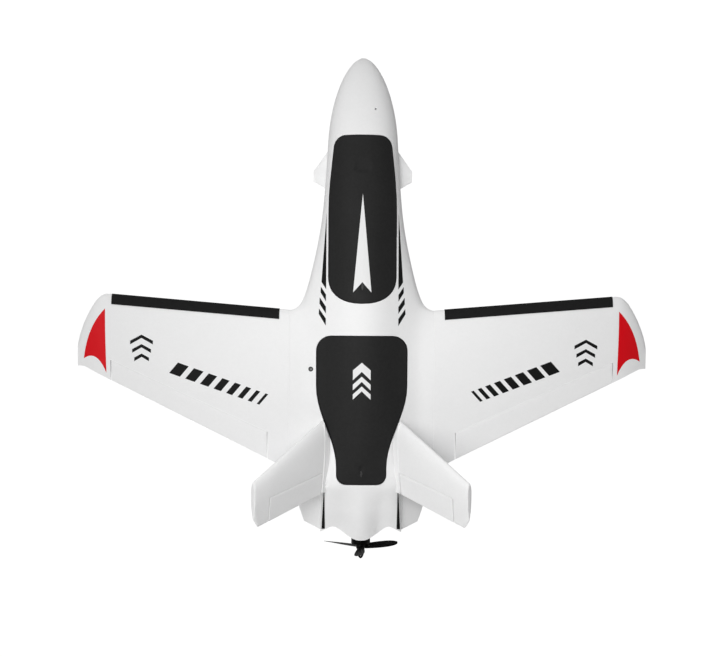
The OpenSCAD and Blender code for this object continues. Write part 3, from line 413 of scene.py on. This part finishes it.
# ---------------------------------------------------------------- foam pieces
for node in ("fuselage_upper_shell", "fuselage_lower_shell"):
    foam(node, white_foam, edge=4.0, rounds=40)
for side, _ in SIDES:
    foam(side + "_wing_panel", white_foam, edge=4.5, rounds=50, crease=35)
    for part, voxel in (("_tail_fin", 0.9), ("_aileron", 0.8), ("_ruddervator", 0.6), ("_ventral_fin", 0.6),
                        ("_canard", 0.4)):
        foam(side + part, white_foam, voxel=voxel, rounds=60, crease=35)
for node in ("front_hatch", "rear_hatch"):
    foam(node, black_foam, voxel=1.0, rounds=60)

# ---------------------------------------------------------------- films that lie on the foam
RAY_HEIGHT = 0.4
trees = {}


def surface_tree(node):
    """A search tree of a foam piece's surface, made once for each piece."""
    if node not in trees:
        co, tri = arrays(foam_pieces[node].data)
        trees[node] = BVHTree.FromPolygons([tuple(p) for p in co], [tuple(t) for t in tri])
    return trees[node]


def pressed(name, points, faces, node, material, lift, sink=0.12):
    """A closed thin film pressed on the upper side of a foam piece. Points are in millimetres from above."""
    tree = surface_tree(node)
    top, under = [], []
    for x, y in points:
        place, normal, _, _ = tree.ray_cast(Vector((x * MM, y * MM, RAY_HEIGHT)), Vector((0, 0, -1)))
        if place is None:
            place, normal, _, _ = tree.find_nearest(Vector((x * MM, y * MM, 0.07)))
        top.append(place + normal * lift * MM)
        under.append(place - normal * sink * MM)
    count = len(top)
    sides = {}
    for face in faces:
        for a, b in zip(face, face[1:] + face[:1]):
            sides[(a, b)] = (b, a) not in sides
            if not sides[(a, b)]:
                sides[(b, a)] = False
    walls = [(b, a, a + count, b + count) for (a, b), open_side in sides.items() if open_side]
    skins = [tuple(f) for f in faces] + [tuple(i + count for i in reversed(f)) for f in faces]
    mesh = new_mesh(name, top + under, skins + walls)
    bm = bmesh.new()
    bm.from_mesh(mesh)
    bmesh.ops.recalc_face_normals(bm, faces=bm.faces)
    bm.to_mesh(mesh)
    bm.free()
    sharp_by_angle(mesh, 40)
    mesh.materials.append(material)
    obj = link(bpy.data.objects.new(name, mesh))
    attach(obj, body_of(foam_pieces[node])[0])


def resampled(outline, step):
    """The same closed outline with points no further apart than step."""
    points = []
    for p, q in zip(outline, outline[1:] + outline[:1]):
        count = max(1, math.ceil(math.dist(p, q) / step))
        points += [(p[0] + (q[0] - p[0]) * k / count, p[1] + (q[1] - p[1]) * k / count)
                   for k in range(count)]
    return points


def within(x, y, outline, margin):
    """Whether a point is inside an outline and at least a margin away from its sides."""
    odd, near = False, 1e9
    for (ax, ay), (bx, by) in zip(outline, outline[1:] + outline[:1]):
        if (ay > y) != (by > y) and x < ax + (bx - ax) * (y - ay) / (by - ay):
            odd = not odd
        t = ((x - ax) * (bx - ax) + (y - ay) * (by - ay)) / ((bx - ax) ** 2 + (by - ay) ** 2)
        t = max(0, min(1, t))
        near = min(near, math.hypot(x - ax - t * (bx - ax), y - ay - t * (by - ay)))
    return odd and near > margin


def decal(name, outline, node, material, step=2.5, lift=0.10):
    """A film cut to an outline, with a grid of points inside it so that it follows the curved surface."""
    edge = resampled(outline, step)
    xs, ys = [p[0] for p in outline], [p[1] for p in outline]
    inner = [(min(xs) + i * step, min(ys) + j * step) for i in range(int((max(xs) - min(xs)) / step) + 1)
             for j in range(int((max(ys) - min(ys)) / step) + 1)]
    inner = [p for p in inner if within(p[0], p[1], outline, step * 0.55)]
    loop = [(i, (i + 1) % len(edge)) for i in range(len(edge))]
    points, _, faces, _, _, _ = delaunay_2d_cdt([Vector(p) for p in edge + inner], loop, [], 1, 1e-5)
    pressed(name, [tuple(p) for p in points], [list(f) for f in faces], node, material, lift)


def mirrored(outline, hand):
    """The outline itself for hand 1, and its mirror image on the other wing for hand -1."""
    return [(x * hand, y) for x, y in outline]


def curved(start, bend, end, count=10):
    """Points on a smooth curve from start to end, pulled towards bend."""
    shares = [k / count for k in range(count + 1)]
    return [tuple((1 - t) ** 2 * a + 2 * t * (1 - t) * b + t * t * c for a, b, c in zip(start, bend, end))
            for t in shares]


def chevron(x, y, half, rise, thick):
    """Outline of a V that points to +Y, with its apex at x, y."""
    return [(x, y), (x + half, y - rise), (x + half, y - rise - thick), (x, y - thick * 0.92),
            (x - half, y - rise - thick), (x - half, y - rise)]


decal("front_hatch_arrow", [(0, 219.5), (13.2, 76.6), (0, 91.4), (-13.2, 76.6)], "front_hatch", white_vinyl)
for index, (apex, rise, thick) in enumerate(((-25.0, 11.1, 14.3), (-45.2, 11.6, 8.2), (-59.4, 11.6, 7.6))):
    decal("rear_hatch_chevron_%d" % (index + 1), chevron(0, apex, 12.85, rise, thick), "rear_hatch",
          white_vinyl)

# Small catch on the centre line near the rear end of each hatch.
for node, y in (("front_hatch", 85), ("rear_hatch", -187.4)):
    catch = [(1.5 * math.cos(t), y + 4.6 * math.sin(t)) for t in (math.pi * k / 8 for k in range(16))]
    decal(node + "_catch", catch, node, nylon_black, 1.0, 0.6)

# Outer and inner ends of the line of speed bars on each wing, and the centre of the chevrons outboard of it.
BAR_LINE = {"right": ((290, -29), (172, -74)), "left": ((282, -34), (148, -80))}
BADGE = {"right": (331.5, -8.0), "left": (326.0, -4.5)}
BAR_WIDTHS = (17, 15, 13.2, 11.4, 9.6, 7.8, 6, 4.2)
BAR_HALF = 9.5
BAR_LEAN = 7.5

# The three slashes behind each cheek sliver, from front to back.
SLASHES = (((60.7, 85.7), (53, 73.9), (53, 64.1), (60.9, 76.9)),
           ((62.3, 70.0), (53, 56.2), (53, 46.2), (62.5, 60.4)),
           ((63.2, 53.4), (53, 38.7), (53, 28.4), (63.6, 45.6)))


def black_film(name, outline, hand, node, step=2.5, lift=0.10):
    """A black decal on the side that the hand gives."""
    decal(name, mirrored(outline, hand), node, black_vinyl, step, lift)


for side, hand in SIDES:
    shell, wing = "fuselage_upper_shell", side + "_wing_panel"
    black_film(side + "_cheek_sliver", [(52.8, 193.4), (59.8, 92.5), (52.8, 81.7)], hand, shell)
    for index, outline in enumerate(SLASHES):
        black_film("%s_cheek_slash_%d" % (side, index + 1), outline, hand, shell)
    # A black wedge of film along each side of the tail deck, next to the ventral fin.
    wedge = [(53.6, -216.5), (54.8, -217), (58.0, -272.5), (53.0, -271.5)]
    black_film(side + "_deck_wedge", wedge, hand, shell, 1.2, 0.35)
    tip = curved((380.6, 52.0), (408.0, 25.0), (414.8, -22.5))
    tip += curved((414.8, -22.5), (393.0, -8.0), (379.2, -43.5))[1:]
    decal(side + "_tip_flash", mirrored(tip, hand), wing, red_vinyl)
    outer, inner = BAR_LINE[side]
    length = math.dist(outer, inner)
    along = ((inner[0] - outer[0]) / length, (inner[1] - outer[1]) / length)
    gap = (length - sum(BAR_WIDTHS)) / (len(BAR_WIDTHS) - 1)
    reach = 0
    for index, width in enumerate(BAR_WIDTHS):
        corners = ((reach, -BAR_HALF), (reach + width, -BAR_HALF), (reach + width + BAR_LEAN, BAR_HALF),
                   (reach + BAR_LEAN, BAR_HALF))
        outline = [(outer[0] + along[0] * s + along[1] * h, outer[1] + along[1] * s - along[0] * h)
                   for s, h in corners]
        black_film("%s_speed_bar_%d" % (side, index + 1), outline, hand, wing)
        reach += width + gap
    for index, drop in enumerate((18, 4, -10)):
        outline = chevron(BADGE[side][0], BADGE[side][1] + drop, 17 - 3 * index, 9 - 1.5 * index, 5.4)
        black_film("%s_badge_chevron_%d" % (side, index + 1), outline, hand, wing)

# ---------------------------------------------------------------- glued root of the tail fins
# X and Z in millimetres where the fins' middle plane starts, and how far the fins lean out.
FIN_BASE = (56, 86.2)
FIN_LEAN = math.radians(45)
BEAD_RADIUS = 1.1


def tube(name, points, radius, node, material):
    """A closed round bead through points given in millimetres."""
    count, turns = len(points), 10
    rings = []
    for i, here in enumerate(points):
        along = (points[(i + 1) % count] - points[i - 1]).normalized()
        across = along.cross(Vector((0.3, 0.2, 1))).normalized()
        other = along.cross(across)
        rings += [(here + (across * math.cos(t) + other * math.sin(t)) * radius) * MM
                  for t in (2 * math.pi * k / turns for k in range(turns))]
    faces = [(i * turns + k, i * turns + (k + 1) % turns, (i + 1) % count * turns + (k + 1) % turns,
              (i + 1) % count * turns + k) for i in range(count) for k in range(turns)]
    mesh = new_mesh(name, rings, faces)
    mesh.materials.append(material)
    obj = link(bpy.data.objects.new(name, mesh))
    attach(obj, body_of(foam_pieces[node])[0])


def root_line(node, hand):
    """The line where a tail fin meets its stub: back along the upper face, then forward along the lower one."""
    co = arrays(foam_pieces[node].data)[0] / MM
    x, y, z = co[:, 0] * hand - FIN_BASE[0], co[:, 1], co[:, 2] - FIN_BASE[1]
    u = x * math.cos(FIN_LEAN) + z * math.sin(FIN_LEAN)
    w = z * math.cos(FIN_LEAN) - x * math.sin(FIN_LEAN)
    low = u < u.min() + 3
    levels = np.arange(y[low].min() + 3, y[low].max() - 2, 4.0)
    heights = {1: [], -1: []}
    for level in levels:
        near = low & (abs(y - level) < 4)
        heights[1].append(w[near].max())
        heights[-1].append(w[near].min())
    line = []
    for face, order in ((1, range(len(levels) - 1, -1, -1)), (-1, range(len(levels)))):
        even = np.convolve(np.pad(heights[face], 2, "edge"), np.ones(5) / 5, "valid")
        for i in order:
            along, out = u.min() + 0.4, even[i] - face * 0.55
            far = FIN_BASE[0] + along * math.cos(FIN_LEAN) - out * math.sin(FIN_LEAN)
            high = FIN_BASE[1] + along * math.sin(FIN_LEAN) + out * math.cos(FIN_LEAN)
            line.append(Vector((far * hand, levels[i], high)))
    return line


for side, hand in SIDES:
    fin = side + "_tail_fin"
    tube(side + "_fin_root_bead", root_line(fin, hand), BEAD_RADIUS, fin, white_foam)

# ---------------------------------------------------------------- finishes of the CAD nodes
FINISH = {
    "edge_strip": black_eva,
    "spar_tube": carbon,
    "belly_skid_plate": nylon_black,
    "equipment_tray": plywood,
    "battery_pack": battery_wrap,
    "battery_strap": webbing,
    "speed_controller": motor_black,
    "receiver": nylon_black,
    "motor_leads": silicone,
    "antenna_grommet": nylon_black,
    "motor_mount": nylon_black,
    "motor_mount_screws": steel,
    "motor_stator": copper,
    "motor_bearings": steel,
    "magnets": steel,
    "_servo": servo_blue,
    "_servo_arm": nylon_white,
    "hinge_brackets": nylon_black,
    "hinge_leaves": nylon_black,
    "_horn": nylon_black,
    "_pushrod": steel,
    "motor_bell": motor_black,
    "propeller": prop_black,
    "propeller_nut": motor_black,
}


def finish_node(node, obj):
    endings = [e for e in FINISH if node.endswith(e)]
    material = FINISH[max(endings, key=len)]
    obj.data.materials.clear()
    obj.data.materials.append(material)
    weld = obj.modifiers.new("weld", "WELD")
    weld.merge_threshold = 0.002 * MM
    if not node.endswith("edge_strip"):
        bevel = obj.modifiers.new("bevel", "BEVEL")
        bevel.width = 0.15 * MM
        bevel.segments = 2
        bevel.limit_method = "ANGLE"
        bevel.angle_limit = math.radians(40)
        bevel.harden_normals = False


for node, obj in frame["nodes"].items():
    if node not in foam_pieces:
        finish_node(node, obj)

# ---------------------------------------------------------------- stage
SKY_GLOW = 0.055

floor_mesh = new_mesh("floor", [(-6, -6, 0), (6, -6, 0), (6, 6, 0), (-6, 6, 0)], [(0, 1, 2, 3)], False)
floor = link(bpy.data.objects.new("floor", floor_mesh))
floor.location.z = -0.5 * MM
floor_look = bpy.data.materials.new("floor")
floor_look.use_nodes = True
tree = floor_look.node_tree
tree.nodes.clear()
out = tree.nodes.new("ShaderNodeOutputMaterial")
choose = tree.nodes.new("ShaderNodeMixShader")
seen = tree.nodes.new("ShaderNodeLightPath")
bounce = tree.nodes.new("ShaderNodeBsdfDiffuse")
bounce.inputs["Color"].default_value = grey(0.60)
glow = tree.nodes.new("ShaderNodeEmission")
glow.inputs["Color"].default_value = grey(1.0)
glow.inputs["Strength"].default_value = 1.05
tree.links.new(seen.outputs["Is Camera Ray"], choose.inputs["Fac"])
tree.links.new(bounce.outputs[0], choose.inputs[1])
tree.links.new(glow.outputs[0], choose.inputs[2])
# Seen from below, the floor is clear, so that the underside shows.
clear = tree.nodes.new("ShaderNodeBsdfTransparent")
facing = tree.nodes.new("ShaderNodeMixShader")
tree.links.new(tree.nodes.new("ShaderNodeNewGeometry").outputs["Backfacing"], facing.inputs["Fac"])
tree.links.new(choose.outputs[0], facing.inputs[1])
tree.links.new(clear.outputs[0], facing.inputs[2])
tree.links.new(facing.outputs[0], out.inputs["Surface"])
floor_mesh.materials.append(floor_look)

world = bpy.data.worlds.new("studio")
scene.world = world
world.use_nodes = True
sky = world.node_tree
backdrop = sky.nodes["Background"].inputs
backdrop["Color"].default_value = grey(1.0)
# White where the camera looks past the floor, and only a faint light on the model.
level = sky.nodes.new("ShaderNodeMath")
level.operation = "MAXIMUM"
level.inputs[1].default_value = SKY_GLOW
sky.links.new(sky.nodes.new("ShaderNodeLightPath").outputs["Is Camera Ray"], level.inputs[0])
sky.links.new(level.outputs[0], backdrop["Strength"])

sun_data = bpy.data.lights.new("key", "SUN")
sun_data.energy = 1.15
sun_data.angle = math.radians(50)
sun = link(bpy.data.objects.new("key", sun_data))
sun.rotation_euler = Vector((math.sin(math.radians(26)), -0.10, -math.cos(math.radians(26)))).to_track_quat(
    "-Z", "Y").to_euler()

# Weak wide lights from the nose, the tail and both sides, low over the floor.
FILL_HEIGHT = math.radians(25)
FILLS = (("front", 0, 1, 0.75), ("back", 0, -1, 0.60), ("left", -1, 0, 0.25), ("right", 1, 0, 0.26))
for name, x, y, energy in FILLS:
    fill = bpy.data.lights.new("fill_" + name, "SUN")
    fill.energy = energy
    fill.angle = math.radians(60)
    towards = Vector((-x * math.cos(FILL_HEIGHT), -y * math.cos(FILL_HEIGHT), -math.sin(FILL_HEIGHT)))
    lamp = link(bpy.data.objects.new("fill_" + name, fill))
    lamp.rotation_euler = towards.to_track_quat("-Z", "Y").to_euler()

# A soft box over the body, whose light falls off towards the wing tips.
box_data = bpy.data.lights.new("soft_box", "AREA")
box_data.energy = 1.5
box_data.size = 0.35
box = link(bpy.data.objects.new("soft_box", box_data))
box.location = (-0.04, 0.05, 0.70)
box.visible_camera = False

camera_data = bpy.data.cameras.new("camera")
camera_data.lens = 50.8
camera_data.sensor_width = 36
camera_data.sensor_fit = "HORIZONTAL"
camera = link(bpy.data.objects.new("camera", camera_data))
camera.location = (-0.0066, 0.0245, 1.5612)
camera.rotation_euler = (0, 0, math.radians(0.35))
scene.camera = camera
scene.view_settings.view_transform = "Standard"
